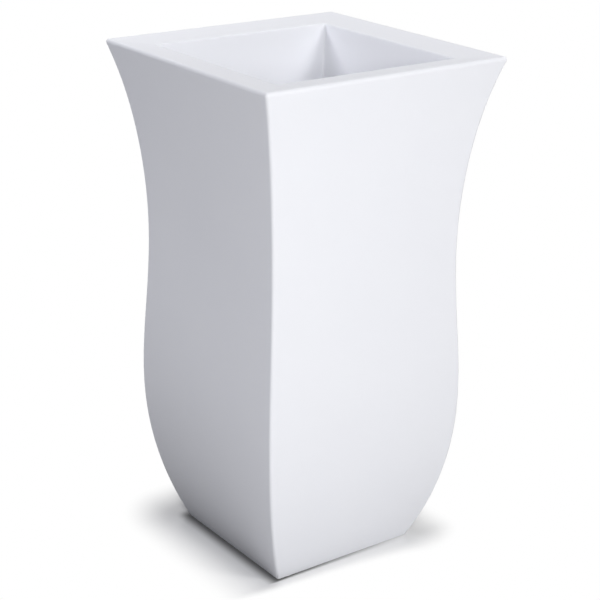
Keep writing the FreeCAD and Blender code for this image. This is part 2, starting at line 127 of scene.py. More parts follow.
class Wire:
    """One output of a node. Arithmetic on it adds Math nodes to the tree that it belongs to."""

    def __init__(self, tree, socket):
        self.tree = tree
        self.socket = socket

    @staticmethod
    def make(tree, kind, settings=None, inputs=None, out=0):
        """Adds a node: its settings first, then the values or links of its sockets, by name or number."""
        node = tree.nodes.new(kind)
        for name, value in (settings or {}).items():
            setattr(node, name, value)
        for name, value in (inputs or {}).items():
            if isinstance(value, Wire):
                tree.links.new(value.socket, node.inputs[name])
            else:
                node.inputs[name].default_value = value
        return Wire(tree, node.outputs[out]) if len(node.outputs) else node

    def node(self, kind, settings=None, inputs=None, out=0):
        """Another node in the same tree."""
        return Wire.make(self.tree, kind, settings, inputs, out)

    def out(self, name):
        """Another output of the same node."""
        return Wire(self.tree, self.socket.node.outputs[name])

    def maths(self, operation, *values):
        """A Math node that works on the given wires and numbers."""
        inputs = dict(enumerate(values))
        return self.node("ShaderNodeMath", {"operation": operation}, inputs)

    def __add__(self, other):
        return self.maths("ADD", self, other)

    def __radd__(self, other):
        return self.maths("ADD", other, self)

    def __sub__(self, other):
        return self.maths("SUBTRACT", self, other)

    def __rsub__(self, other):
        return self.maths("SUBTRACT", other, self)

    def __mul__(self, other):
        return self.maths("MULTIPLY", self, other)

    def __rmul__(self, other):
        return self.maths("MULTIPLY", other, self)

    def __truediv__(self, other):
        return self.maths("DIVIDE", self, other)

    def __mod__(self, other):
        return self.maths("FLOORED_MODULO", self, other)

    def __lt__(self, other):
        return self.maths("LESS_THAN", self, other)

    def __gt__(self, other):
        return self.maths("GREATER_THAN", self, other)

    def floor(self):
        return self.maths("FLOOR", self)

    def cos(self):
        return self.maths("COSINE", self)

    def sin(self):
        return self.maths("SINE", self)

    def least(self, other):
        return self.maths("MINIMUM", self, other)

    def most(self, other):
        return self.maths("MAXIMUM", self, other)

    def size(self):
        return self.maths("ABSOLUTE", self)

    def root(self):
        return self.maths("SQRT", self)


# Materials

def start_material(name):
    """A new material with its shader node and a wire of the piece's own coordinates."""
    material = bpy.data.materials.new(name)
    material.use_nodes = True
    tree = material.node_tree
    shader = tree.nodes["Principled BSDF"]
    place = Wire.make(tree, "ShaderNodeTexCoord", out="Object")
    return material, shader, place


def cloud(place, waves, detail):
    """Soft noise over the piece, from about 0 to 1, with so many waves to the metre."""
    return place.node("ShaderNodeTexNoise", None, {"Vector": place, "Scale": waves, "Detail": detail})


def blended(share, first, second):
    """A colour that runs from the first to the second as the share goes from 0 to 1."""
    return share.node("ShaderNodeMix", {"data_type": "RGBA"}, {0: share, 6: first, 7: second}, out=2)


def feed(shader, socket, wire):
    """Links a wire to a socket of a shader."""
    wire.tree.links.new(wire.socket, shader.inputs[socket])


# How fine the detail of each noise in moulded plastic is, and the finish of the screws' plating
MOTTLE_DETAIL = 4.0
GRAIN_DETAIL = 2.0
BOW_DETAIL = 1.0
PLATING_WAVES = 420.0
PLATING_DETAIL = 5.0
PLATING_BRIGHT = (0.66, 0.66, 0.64, 1)
PLATING_DULL = (0.50, 0.51, 0.53, 1)
PLATING_ROUGHNESS = 0.26
PLATING_ROUGHNESS_SPREAD = 0.24


def moulded_plastic(name, colour, mottle, mottle_waves, roughness, roughness_spread, grain_waves,
                    grain_depth, bow_waves, bow_depth, shine=0.5):
    """Moulded plastic: a faint mottle, a fine grain from the mould and a slow bow in the walls."""
    material, shader, place = start_material(name)
    patches = cloud(place, mottle_waves, MOTTLE_DETAIL)
    grain = cloud(place, grain_waves, GRAIN_DETAIL)
    bow = cloud(place, bow_waves, BOW_DETAIL)
    feed(shader, "Base Color", blended(patches, colour, mottle))
    feed(shader, "Roughness", roughness + roughness_spread * (grain + patches - 1.0))
    height = grain_depth * grain + bow_depth * bow
    bump = place.node("ShaderNodeBump", None, {"Strength": 1.0, "Distance": 1.0, "Height": height})
    feed(shader, "Normal", bump)
    shader.inputs["Specular IOR Level"].default_value = shine
    return material


def shell_white():
    return moulded_plastic("shell_white", colour=(0.872, 0.879, 0.915, 1), mottle=(0.852, 0.860, 0.902, 1),
                           mottle_waves=9.0, roughness=0.60, roughness_spread=0.10, grain_waves=850.0,
                           grain_depth=0.000006, bow_waves=7.0, bow_depth=0.0004, shine=0.25)


def liner_grey():
    return moulded_plastic("liner_grey", colour=(0.78, 0.79, 0.82, 1), mottle=(0.74, 0.75, 0.78, 1),
                           mottle_waves=14.0, roughness=0.55, roughness_spread=0.16, grain_waves=700.0,
                           grain_depth=0.00001, bow_waves=9.0, bow_depth=0.0004)


def grate_charcoal():
    return moulded_plastic("grate_charcoal", colour=(0.040, 0.042, 0.046, 1),
                           mottle=(0.062, 0.064, 0.068, 1), mottle_waves=60.0, roughness=0.58,
                           roughness_spread=0.2, grain_waves=1100.0, grain_depth=0.00001, bow_waves=20.0,
                           bow_depth=0.0001)


def pipe_grey():
    return moulded_plastic("pipe_grey", colour=(0.20, 0.21, 0.23, 1), mottle=(0.17, 0.18, 0.195, 1),
                           mottle_waves=40.0, roughness=0.38, roughness_spread=0.14, grain_waves=900.0,
                           grain_depth=0.000006, bow_waves=30.0, bow_depth=0.00004)


def plug_black():
    return moulded_plastic("plug_black", colour=(0.022, 0.023, 0.025, 1), mottle=(0.034, 0.035, 0.037, 1),
                           mottle_waves=50.0, roughness=0.42, roughness_spread=0.16, grain_waves=1000.0,
                           grain_depth=0.000006, bow_waves=40.0, bow_depth=0.00003)


def seal_rubber():
    return moulded_plastic("seal_rubber", colour=(0.016, 0.016, 0.017, 1), mottle=(0.030, 0.030, 0.031, 1),
                           mottle_waves=120.0, roughness=0.72, roughness_spread=0.2, grain_waves=1500.0,
                           grain_depth=0.000012, bow_waves=60.0, bow_depth=0.00002)


def foot_rubber():
    return moulded_plastic("foot_rubber", colour=(0.020, 0.020, 0.021, 1), mottle=(0.036, 0.035, 0.034, 1),
                           mottle_waves=90.0, roughness=0.8, roughness_spread=0.2, grain_waves=1300.0,
                           grain_depth=0.00002, bow_waves=60.0, bow_depth=0.00002)


def screw_zinc():
    """Zinc-plated steel: a bright metal with small dull patches."""
    material, shader, place = start_material("screw_zinc")
    patches = cloud(place, PLATING_WAVES, PLATING_DETAIL)
    feed(shader, "Base Color", blended(patches, PLATING_BRIGHT, PLATING_DULL))
    feed(shader, "Roughness", PLATING_ROUGHNESS + PLATING_ROUGHNESS_SPREAD * patches)
    shader.inputs["Metallic"].default_value = 1.0
    return material


# Pieces made by geometry nodes

def start_tree(name, first, *values):
    """A new node tree that takes a geometry, the named values and a material. Gives its first wire."""
    tree = bpy.data.node_groups.new(name, "GeometryNodeTree")
    inputs = [(first, "Geometry"), *values, ("Sharp Angle", "Float"), ("Material", "Material")]
    for label, kind in inputs:
        tree.interface.new_socket(label, in_out="INPUT", socket_type="NodeSocket" + kind)
    tree.interface.new_socket("Piece", in_out="OUTPUT", socket_type="NodeSocketGeometry")
    return Wire.make(tree, "NodeGroupInput", out=first)


def finish_tree(start, piece):
    """Ends a tree with smooth faces that break at sharp bends, and with the material."""
    piece = start.node("GeometryNodeSetShadeSmooth", {"domain": "FACE"}, {0: piece, "Shade Smooth": True})
    bend = start.node("GeometryNodeInputMeshEdgeAngle")
    piece = start.node("GeometryNodeSetShadeSmooth", {"domain": "EDGE"},
                       {0: piece, 1: bend > start.out("Sharp Angle"), "Shade Smooth": False})
    piece = start.node("GeometryNodeRealizeInstances", None, {0: piece})
    piece = start.node("GeometryNodeSetMaterial", None, {0: piece, "Material": start.out("Material")})
    start.node("NodeGroupOutput", None, {"Piece": piece})
    return start.tree


def round_along(start, path):
    """A round bar along each curve of a path, with closed ends."""
    profile = start.node("GeometryNodeCurvePrimitiveCircle", {"mode": "RADIUS"},
                         {"Resolution": start.out("Rib Sides"), "Radius": start.out("Rib Radius")})
    return start.node("GeometryNodeCurveToMesh", None,
                      {"Curve": path, "Profile Curve": profile, "Fill Caps": True})


def sweep_tree():
    """Geometry nodes that carry a section round a square. Each point of the section lies at its
    half-width in X and its height in Z, and keeps the radius that the square's corners have there.
    A grid has a column for each step round the corners, with one more before and after each corner
    to hold the sides flat, and a row for each point of the section. Halves in these sums keep a whole
    number clear of the value that it is rounded or compared to."""
    section = start_tree("square_sweep", "Section", ("Corner Steps", "Int"), ("Closed", "Int"),
                         ("Hold", "Float"), ("Weld", "Float"))
    steps = section.out("Corner Steps")

    points = section.node("GeometryNodeAttributeDomainSize", {"component": "MESH"}, {0: section},
                          "Point Count")
    rows = points + section.out("Closed")
    per_corner = steps + 3
    grid = section.node("GeometryNodeMeshGrid", None,
                        {"Vertices X": 4 * per_corner + 1, "Vertices Y": rows}, "Mesh")
    index = section.node("GeometryNodeInputIndex")
    column = ((index + 0.5) / rows).floor()
    station = (index - column * rows) % points

    spot = section.node("GeometryNodeInputPosition")
    spot = section.node("GeometryNodeSampleIndex", {"data_type": "FLOAT_VECTOR"},
                        {0: section, 1: spot, "Index": station})
    split = section.node("ShaderNodeSeparateXYZ", None, {0: spot}, "X")
    half, height = split, split.out("Z")
    radius = section.node("GeometryNodeInputNamedAttribute", {"data_type": "FLOAT"},
                          {"Name": "corner_radius"})
    radius = section.node("GeometryNodeSampleIndex", {"data_type": "FLOAT"},
                          {0: section, 1: radius, "Index": station})

    corner = ((column + 0.5) / per_corner).floor()
    step = column - corner * per_corner
    turn = (step - 1.0).most(0.0).least(steps)
    angle = (corner + turn / steps) * QUARTER_TURN
    to_corner = corner * QUARTER_TURN + QUARTER_TURN / 2
    straight = half - radius
    # -1 on the column before a corner, 1 on the column after it, and 0 round the corner
    past_end = (step > per_corner - 1.5) - (step < 0.5)
    along = past_end * section.out("Hold").least(straight * HOLD_SHARE)
    reach = straight * math.sqrt(2)
    x = reach * to_corner.cos() + radius * angle.cos() - along * angle.sin()
    y = reach * to_corner.sin() + radius * angle.sin() + along * angle.cos()
    spot = section.node("ShaderNodeCombineXYZ", None, {"X": x, "Y": y, "Z": height})

    piece = section.node("GeometryNodeSetPosition", None, {"Geometry": grid, "Position": spot})
    piece = section.node("GeometryNodeMergeByDistance", None,
                         {"Geometry": piece, "Distance": section.out("Weld")})
    return finish_tree(section, piece)


def rib_tree():
    """Geometry nodes that lay a round rib along each line of a mesh."""
    lines = start_tree("round_ribs", "Lines", ("Rib Radius", "Float"), ("Rib Sides", "Int"))
    path = lines.node("GeometryNodeMeshToCurve", None, {"Mesh": lines})
    return finish_tree(lines, round_along(lines, path))


def rim_tree():
    """Geometry nodes that set a round rim on each point of a mesh."""
    centres = start_tree("round_rims", "Centres", ("Rim Radius", "Float"), ("Rim Steps", "Int"),
                         ("Rib Radius", "Float"), ("Rib Sides", "Int"))
    rim = centres.node("GeometryNodeCurvePrimitiveCircle", {"mode": "RADIUS"},
                       {"Resolution": centres.out("Rim Steps"), "Radius": centres.out("Rim Radius")})
    rims = centres.node("GeometryNodeInstanceOnPoints", None, {"Points": centres, "Instance": rim})
    path = centres.node("GeometryNodeRealizeInstances", None, {0: rims})
    return finish_tree(centres, round_along(centres, path))


def grip_tree():
    """Geometry nodes that stand round bars side by side in a ring about each point of a mesh."""
    centres = start_tree("round_grips", "Centres", ("Ring Radius", "Float"), ("Grip Count", "Int"),
                         ("Grip Height", "Float"), ("Rib Radius", "Float"), ("Rib Sides", "Int"))
    ring = centres.node("GeometryNodeMeshCircle", None,
                        {"Vertices": centres.out("Grip Count"), "Radius": centres.out("Ring Radius")})
    rise = centres.node("ShaderNodeCombineXYZ", None, {"Z": centres.out("Grip Height")})
    bar = centres.node("GeometryNodeCurvePrimitiveLine", {"mode": "POINTS"},
                       {"Start": (0, 0, 0), "End": rise})
    bars = centres.node("GeometryNodeInstanceOnPoints", None, {"Points": ring, "Instance": bar})
    rings = centres.node("GeometryNodeInstanceOnPoints", None, {"Points": centres, "Instance": bars})
    path = centres.node("GeometryNodeRealizeInstances", None, {0: rings})
    return finish_tree(centres, round_along(centres, path))


def as_mesh(holder, tree, settings):
    """The plain mesh that a node tree makes of an object, with the tree's inputs set by name."""
    modifier = holder.modifiers.new("make", "NODES")
    modifier.node_group = tree
    for item in tree.interface.items_tree:
        if item.in_out == "INPUT" and item.name in settings:
            modifier[item.identifier] = settings[item.name]
    mesh = evaluated_mesh(holder)
    holder.modifiers.remove(modifier)
    return mesh


def evaluated_mesh(piece):
    """The plain mesh of an object with its modifiers applied."""
    bpy.context.view_layer.update()
    depsgraph = bpy.context.evaluated_depsgraph_get()
    return bpy.data.meshes.new_from_object(piece.evaluated_get(depsgraph), depsgraph=depsgraph)


def new_object(name, data):
    """A new object of a mesh, lamp or camera, put in the scene."""
    thing = bpy.data.objects.new(name, data)
    bpy.context.scene.collection.objects.link(thing)
    return thing


def outward(mesh):
    """Turns every face of a closed mesh outwards."""
    work = bmesh.new()
    work.from_mesh(mesh)
    bmesh.ops.recalc_face_normals(work, faces=work.faces)
    work.to_mesh(mesh)
    work.free()


def built(name, tree, line, settings):
    """A closed piece that a tree makes of a mesh of points or lines."""
    holder = new_object(name + "_line", line)
    mesh = as_mesh(holder, tree, settings)
    bpy.data.objects.remove(holder)
    bpy.data.meshes.remove(line)
    outward(mesh)
    mesh.name = name
    return new_object(name, mesh)


def line_mesh(points, edges=()):
    """A mesh of points, with edges between some of them or none."""
    mesh = bpy.data.meshes.new("line")
    mesh.from_pydata(points, edges, [])
    return mesh


def swept(name, section, material, closed=True):
    """A closed piece from a section, which is carried round a square with rounded corners. Each point of
    the section is (half-width, height, corner radius). A section that isn't closed starts and ends on
    the axis."""
    line = line_mesh([(half, 0, z) for half, z, radius in section])
    line.attributes.new("corner_radius", "FLOAT", "POINT")
    line.attributes["corner_radius"].data.foreach_set("value", [radius for half, z, radius in section])
    return built(name, SWEEP, line, {
        "Corner Steps": CORNER_STEPS, "Closed": int(closed), "Hold": HOLD, "Weld": WELD,
        "Sharp Angle": SHARP_ANGLE, "Material": material,
    })


def rounded_edge(before, edge, after, radius):
    """Points of the arc that rounds the edge between two straight runs of a section, with a point on
    each run to hold it flat. Each point given, and each point made, is (half-width, height)."""
    spot = Vector(edge)
    first = (Vector(before) - spot).normalized()
    last = (Vector(after) - spot).normalized()
    opening = first.angle(last)
    run = radius / math.tan(opening / 2)
    centre = spot + (first + last).normalized() * (radius / math.sin(opening / 2))
    start = spot + first * run
    end = spot + last * run
    points = [start + first * HOLD]
    for step in range(EDGE_STEPS + 1):
        share = step / EDGE_STEPS
        arm = (start - centre).normalized().slerp((end - centre).normalized(), share)
        points.append(centre + arm * radius)
    points.append(end + last * HOLD)
    return [(point.x, point.y) for point in points]


def with_corner(points, radius):
    """Points of a section with one corner radius given to them all."""
    return [(half, z, radius) for half, z in points]


# The shell

SHELL_LOW, SHELL_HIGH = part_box("outer_shell")
HEIGHT = SHELL_HIGH.z
BASE_Z = SHELL_LOW.z
DECK_LOW_Z = HEIGHT - DECK_FALL
LEDGE_Z = DECK_LOW_Z - COLLAR_DEPTH
FLOOR_UNDER_Z = BASE_Z + BASE_RECESS
FLOOR_TOP_Z = FLOOR_UNDER_Z + SHELL_WALL


def faces_of(node):
    """A CAD node's faces, sorted so that rays can measure them."""
    mesh = NODES[node].data
    return BVHTree.FromPolygons([v.co for v in mesh.vertices], [p.vertices for p in mesh.polygons])


def surfaces(solid, start, direction):
    """How far along a ray each face of a solid lies, up to the ray's own length."""
    found, travelled = [], 0.0
    start = Vector(start)
    reach = Vector(direction).length
    heading = Vector(direction).normalized()
    while True:
        spot, _, _, distance = solid.ray_cast(start + heading * travelled, heading, reach - travelled)
        if spot is None:
            return found
        travelled += distance + RAY_SKIP
        found.append(travelled - RAY_SKIP)


SHELL_SOLID = faces_of("outer_shell")


def wall_line():
    """The shell's side outline between its rounded edges, as one smooth curve: half-width by height."""
    low, high = BASE_Z + 2 * FOOT_EDGE, HEIGHT - 2.5 * EDGE_RADIUS
    heights = [low + (high - low) * step / (WALL_SAMPLES - 1) for step in range(WALL_SAMPLES)]
    halves = [OUTSIDE - surfaces(SHELL_SOLID, (0, -OUTSIDE, z), (0, OUTSIDE, 0))[0] for z in heights]
    return Polynomial.fit(heights, halves, WALL_DEGREE)


WALL_LINE = wall_line()


def wall_half(z):
    """Half-width of the shell's outside at a height, as if its edges weren't rounded."""
    return float(WALL_LINE(z))


def half_inside(z):
    """Half-width of the space round the axis at a height, measured by a ray from the axis."""
    return surfaces(SHELL_SOLID, (0, 0, z), (0, -OUTSIDE, 0))[0]


COLLAR_TOP_Z = DECK_LOW_Z - 2 * LIP_RADIUS
COLLAR_LOW_Z = LEDGE_Z + LIP_RADIUS
COLLAR_SLOPE = (half_inside(COLLAR_TOP_Z) - half_inside(COLLAR_LOW_Z)) / (COLLAR_TOP_Z - COLLAR_LOW_Z)
MOUTH_HALF = half_inside(COLLAR_TOP_Z) + COLLAR_SLOPE * (DECK_LOW_Z - COLLAR_TOP_Z)
COLLAR_FOOT_HALF = MOUTH_HALF - COLLAR_SLOPE * COLLAR_DEPTH
LEDGE_HALF = COLLAR_FOOT_HALF - LEDGE_WIDTH
RIM_HALF = wall_half(HEIGHT)
FOOT_HALF = wall_half(BASE_Z)
PIPE_HOLE_RADIUS = half_inside((FLOOR_UNDER_Z + FLOOR_TOP_Z) / 2)
PAD_LOW, PAD_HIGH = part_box("foot_pad_front_right")
PAD_PLACE = (PAD_LOW.x + PAD_HIGH.x) / 2
PAD_RADIUS = (PAD_HIGH.x - PAD_LOW.x) / 2
PAD_TOP_Z = PAD_HIGH.z


def wall_run(low, high, inset, radius):
    """Points up a wall that follows the side outline, drawn in by the inset."""
    count = max(2, round((high - low) / WALL_STEP))
    run = []
    for step in range(count + 1):
        z = low + (high - low) * step / count
        run.append((wall_half(z) - inset, z, radius))
    return run


def rim_edge():
    """The rounded outer edge of the rim, from the wall up to the deck. Its corners tighten as they
    climb, as on an edge that a ball has rolled round."""
    below = (wall_half(HEIGHT - EDGE_RADIUS), HEIGHT - EDGE_RADIUS)
    arc = rounded_edge(below, (RIM_HALF, HEIGHT), (0, HEIGHT), EDGE_RADIUS)[:-1]
    inner, outer = arc[-1][0], arc[1][0]
    return [(half, z, EDGE_RADIUS * min(1.0, max(0.0, (half - inner) / (outer - inner)))) for half, z in arc]


def shell_section():
    """The shell's wall, all round: up the outside, over the rim and deck, down the collar to its
    ledge, back up behind it, down the inside of the wall, and round the floor and the foot."""
    foot = (FOOT_HALF, BASE_Z)
    foot_rise = (wall_half(BASE_Z + FOOT_EDGE), BASE_Z + FOOT_EDGE)
    foot_arc = rounded_edge((0, BASE_Z), foot, foot_rise, FOOT_EDGE)
    foot_edge = [(half, z, EDGE_RADIUS - max(0.0, foot_arc[-2][0] - half)) for half, z in foot_arc]
    rim = rim_edge()
    outside = wall_run(foot_edge[-1][1] + HOLD, rim[0][1] - HOLD, 0.0, EDGE_RADIUS)

    lip = (MOUTH_HALF, DECK_LOW_Z)
    lip_arc = rounded_edge((RIM_HALF, DECK_LOW_Z), lip, (COLLAR_FOOT_HALF, LEDGE_Z), LIP_RADIUS)
    lip_edge = [(half, z, COLLAR_CORNER + max(0.0, half - lip_arc[-2][0])) for half, z in lip_arc]
    deck = [(RIM_HALF - RIM_LAND, HEIGHT, 0.0), (MOUTH_HALF + LIP_LAND, DECK_LOW_Z, 0.0)]
    collar = lip_edge + [(COLLAR_FOOT_HALF, LEDGE_Z, COLLAR_CORNER)]
    ledge = [(LEDGE_HALF, LEDGE_Z, LINER_CORNER), (LEDGE_HALF, LEDGE_Z - SHELL_WALL, LINER_CORNER)]

    back_corner = COLLAR_CORNER + SHELL_WALL
    ceiling_z = DECK_LOW_Z - SHELL_WALL
    behind = [(COLLAR_FOOT_HALF + SHELL_WALL, LEDGE_Z - SHELL_WALL, back_corner),
              (MOUTH_HALF + SHELL_WALL * (1 - COLLAR_SLOPE), ceiling_z, back_corner)]
    inside = wall_run(FLOOR_TOP_Z, ceiling_z, SHELL_WALL, CAVITY_CORNER)[::-1]
    recess_half = FOOT_HALF - FOOT_RING
    pipe_hole = [(PIPE_HOLE_RADIUS, z, PIPE_HOLE_RADIUS) for z in (FLOOR_TOP_Z, FLOOR_UNDER_Z)]
    recess = [(recess_half, z, BOSS_CORNER) for z in (FLOOR_UNDER_Z, BASE_Z)]
    return foot_edge + outside + rim + deck + collar + ledge + behind + inside + pipe_hole + recess


def at_pads(piece):
    """One mesh of four copies of a piece on the Z axis, one at each foot."""
    work = bmesh.new()
    for sign_x in (-1, 1):
        for sign_y in (-1, 1):
            copy = piece.data.copy()
            copy.transform(Matrix.Translation((sign_x * PAD_PLACE, sign_y * PAD_PLACE, 0)))
            work.from_mesh(copy)
            bpy.data.meshes.remove(copy)
    work.to_mesh(piece.data)
    work.free()
    return piece


def clean_up(mesh):
    """Merges points and dissolves slivers that a join or a cut leaves."""
    work = bmesh.new()
    work.from_mesh(mesh)
    bmesh.ops.remove_doubles(work, verts=work.verts, dist=WELD)
    bmesh.ops.dissolve_degenerate(work, edges=work.edges, dist=WELD)
    work.to_mesh(mesh)
    work.free()


def joined_by(piece, other, operation):
    """Adds another closed piece to a piece, or cuts it away."""
    modifier = piece.modifiers.new("join", "BOOLEAN")
    modifier.operation = operation
    modifier.solver = "EXACT"
    modifier.object = other
    mesh = evaluated_mesh(piece)
    clean_up(mesh)
    mesh.shade_smooth()
    mesh.set_sharp_from_angle(angle=SHARP_ANGLE)
    piece.modifiers.clear()
    piece.data = mesh
    bpy.data.objects.remove(other)


def make_shell(material):
    """The moulded shell, with a boss and a socket for each foot under its floor."""
    shell = swept("planter_shell", shell_section(), material)
    boss_half = PAD_RADIUS + BOSS_WALL
    boss_top = FLOOR_UNDER_Z + SHELL_WALL / 2
    boss_foot = BASE_Z + SOFT_EDGE
    boss = swept("foot_bosses", [(0, boss_foot, 0), (boss_half, boss_foot, BOSS_CORNER),
                                 (boss_half, boss_top, BOSS_CORNER), (0, boss_top, 0)], material, False)
    joined_by(shell, at_pads(boss), "UNION")
    radius = PAD_RADIUS + PAD_GAP
    pilot_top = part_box("foot_screws")[1].z + PILOT_OVERDEPTH
    socket = swept("foot_sockets", [(0, 0, 0), (radius, 0, radius), (radius, PAD_TOP_Z, radius),
                                    (PILOT_RADIUS, PAD_TOP_Z, PILOT_RADIUS),
                                    (PILOT_RADIUS, pilot_top, PILOT_RADIUS), (0, pilot_top, 0)],
                   material, False)
    joined_by(shell, at_pads(socket), "DIFFERENCE")
    shell.data.name = shell.name
    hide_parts("outer_shell")
    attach(shell, "shell")


# The planting liner

LINER_LOW, LINER_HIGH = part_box("planting_liner")
LINER_SLOPE = math.tan(math.radians(LINER_DRAFT_DEGREES))
LINER_TOP_HALF = LEDGE_HALF - LINER_NECK_GAP


def liner_half(z):
    """Half-width of the liner's outside at a height. Its sides draw in as they go down."""
    return LINER_TOP_HALF - (LEDGE_Z - z) * LINER_SLOPE


def liner_section():
    """The liner's wall, all round: up the outside, over the lip, down the inside and round the seat."""
    lip_half, lip_z = LINER_HIGH.x, LINER_HIGH.z
    foot_z = LINER_LOW.z
    foot_half = liner_half(foot_z)
    inner_corner = LINER_CORNER - LINER_WALL
    seat_z = foot_z + LINER_SEAT - SEAT_GAP
    seat_half = foot_half - LINER_WALL - LINER_SEAT_WIDTH
    outer_foot = (foot_half, foot_z)
    outer_neck = (LINER_TOP_HALF, LEDGE_Z)
    inner_lip = (LINER_TOP_HALF - LINER_WALL + (lip_z - LEDGE_Z) * LINER_SLOPE, lip_z)
    inner_foot = (foot_half - LINER_WALL + LINER_SEAT * LINER_SLOPE, seat_z)
    lip_under, lip_over = (lip_half, LEDGE_Z), (lip_half, lip_z)
    foot_arc = rounded_edge((seat_half, foot_z), outer_foot, outer_neck, SOFT_EDGE)
    under_arc = rounded_edge(outer_neck, lip_under, lip_over, SOFT_EDGE)
    over_arc = rounded_edge(lip_under, lip_over, inner_lip, SOFT_EDGE)
    inner_arc = rounded_edge(lip_over, inner_lip, inner_foot, SOFT_EDGE)
    outer_side = with_corner(foot_arc + [outer_neck] + under_arc + over_arc, LINER_CORNER)
    seat = [inner_foot, (seat_half, seat_z), (seat_half, foot_z)]
    return outer_side + with_corner(inner_arc + seat, inner_corner)


def hand_hole_cutter():
    """A long rounded bar through both sides of the liner, as wide and high as its hand holes."""
    radius = HAND_HOLE_HEIGHT / 2
    centre_z = LEDGE_Z - HAND_HOLE_DROP - radius
    half = HAND_HOLE_WIDTH / 2 - radius
    reach = 2 * LINER_TOP_HALF
    ring = []
    for side in (1, -1):
        for step in range(HAND_HOLE_STEPS + 1):
            angle = math.pi * step / HAND_HOLE_STEPS - QUARTER_TURN
            y = side * (half + radius * math.cos(angle))
            z = centre_z + side * radius * math.sin(angle)
            ring.append((y, z))
    work = bmesh.new()
    ends = [[work.verts.new((x, y, z)) for y, z in ring] for x in (-reach, reach)]
    for index in range(len(ring)):
        after = (index + 1) % len(ring)
        work.faces.new((ends[0][index], ends[0][after], ends[1][after], ends[1][index]))
    for end in ends:
        work.faces.new(end)
    mesh = bpy.data.meshes.new("hand_hole_cutter")
    work.to_mesh(mesh)
    work.free()
    outward(mesh)
    return new_object("hand_hole_cutter", mesh)


def make_liner(material):
    """The lift-out liner, with its two hand holes."""
    liner = swept("liner_pot", liner_section(), material)
    joined_by(liner, hand_hole_cutter(), "DIFFERENCE")
    liner.data.name = liner.name
    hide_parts("planting_liner")
    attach(liner, "liner")


def make_liner_ribs(material):
    """Upright ribs on the liner's four sides, from below the hand holes to above the foot."""
    points = []
    for side in range(4):
        turn = Matrix.Rotation(side * QUARTER_TURN, 3, "Z")
        for place in RIB_PLACES:
            for z in (LEDGE_Z - RIB_DROP, LINER_LOW.z + RIB_FOOT_RISE):
                points.append(turn @ Vector((place, -liner_half(z), z)))
    edges = [(start, start + 1) for start in range(0, len(points), 2)]
    ribs = built("liner_ribs", rib_tree(), line_mesh(points, edges), {
        "Rib Radius": RIB_RADIUS, "Rib Sides": RIB_SIDES,
        "Sharp Angle": BAR_SHARP_ANGLE, "Material": material,
    })
    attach(ribs, "liner")


# The small raised details of the grate and the plug

def drain_holes():
    """Centres of the grate's drain holes: places on its grid that are open, with plate all round them."""
    plate = faces_of("soil_grate")
    low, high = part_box("soil_grate")
    above = high.z + RAY_START
    down = (0, 0, low.z - high.z - 2 * RAY_START)
    land = HOLE_RADIUS + 2 * RIM_RADIUS
    count = int(high.x / HOLE_PITCH)
    centres = []
    for column in range(-count, count + 1):
        for row in range(-count, count + 1):
            x, y = column * HOLE_PITCH, row * HOLE_PITCH
            round_about = [(x + land, y), (x - land, y), (x, y + land), (x, y - land)]
            plate_there = [bool(surfaces(plate, (px, py, above), down)) for px, py in round_about]
            if all(plate_there) and not surfaces(plate, (x, y, above), down):
                centres.append((x, y, high.z))
    return centres


def make_grate_rims(material):
    """A raised rim round each drain hole of the grate, and one round its finger hole."""
    finger_hole = (0, 0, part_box("soil_grate")[1].z)
    holes = [("grate_hole_rims", drain_holes(), HOLE_RADIUS),
             ("grate_finger_rim", [finger_hole], FINGER_HOLE_RADIUS)]
    tree = rim_tree()
    for name, centres, radius in holes:
        rims = built(name, tree, line_mesh(centres), {
            "Rim Radius": radius + RIM_RADIUS + RIM_GAP, "Rim Steps": RIM_STEPS, "Rib Radius": RIM_RADIUS,
            "Rib Sides": RIB_SIDES, "Sharp Angle": BAR_SHARP_ANGLE, "Material": material,
        })
        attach(rims, "grate")


def make_plug_grips(material):
    """Fine upright grips round the edge of the drain plug's head."""
    low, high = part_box("drain_plug")
    grips = built("plug_grips", grip_tree(), line_mesh([(0, 0, low.z + PLUG_BAR_HEIGHT)]), {
        "Ring Radius": high.x, "Grip Count": GRIP_COUNT, "Grip Height": PLUG_HEAD_THICKNESS,
        "Rib Radius": GRIP_RADIUS, "Rib Sides": RIB_SIDES,
        "Sharp Angle": BAR_SHARP_ANGLE, "Material": material,
    })
    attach(grips, "plug")


# Finishes of the CAD pieces that stay as they are

def paint(material, *nodes):
    """Gives CAD nodes a material."""
    for node in nodes:
        for slot in NODES[node].material_slots:
            slot.material = material


# Camera

CAMERA_AZIMUTH = math.radians(-36.074)
CAMERA_ELEVATION = math.radians(20.625)
CAMERA_ROLL = math.radians(0.743)
CAMERA_DISTANCE = 2.224737
CAMERA_SIDE = 0.000459
CAMERA_AIM_Z = 0.354886
LENS = 95.487
SENSOR = 36.0


def way_out(azimuth, elevation):
    """A unit step away from the planter, at angles round it from the front and up from the level."""
    level = math.cos(elevation)
    return Vector((math.sin(azimuth) * level, -math.cos(azimuth) * level, math.sin(elevation)))


def make_camera():
    """The camera, which looks at the planter's axis from the front left and a little above."""
    data = bpy.data.cameras.new("camera")
    data.lens = LENS
    data.sensor_width = SENSOR
    camera = new_object("camera", data)
    back = way_out(CAMERA_AZIMUTH, CAMERA_ELEVATION)
    right = Vector((math.cos(CAMERA_AZIMUTH), math.sin(CAMERA_AZIMUTH), 0))
    up = back.cross(right)
    tilted_right = right * math.cos(CAMERA_ROLL) + up * math.sin(CAMERA_ROLL)
    tilted_up = up * math.cos(CAMERA_ROLL) - right * math.sin(CAMERA_ROLL)
    turn = Matrix((tilted_right, tilted_up, back)).transposed()
    eye = back * CAMERA_DISTANCE + right * CAMERA_SIDE + Vector((0, 0, CAMERA_AIM_Z))
    camera.matrix_world = Matrix.Translation(eye) @ turn.to_4x4()
    bpy.context.scene.camera = camera


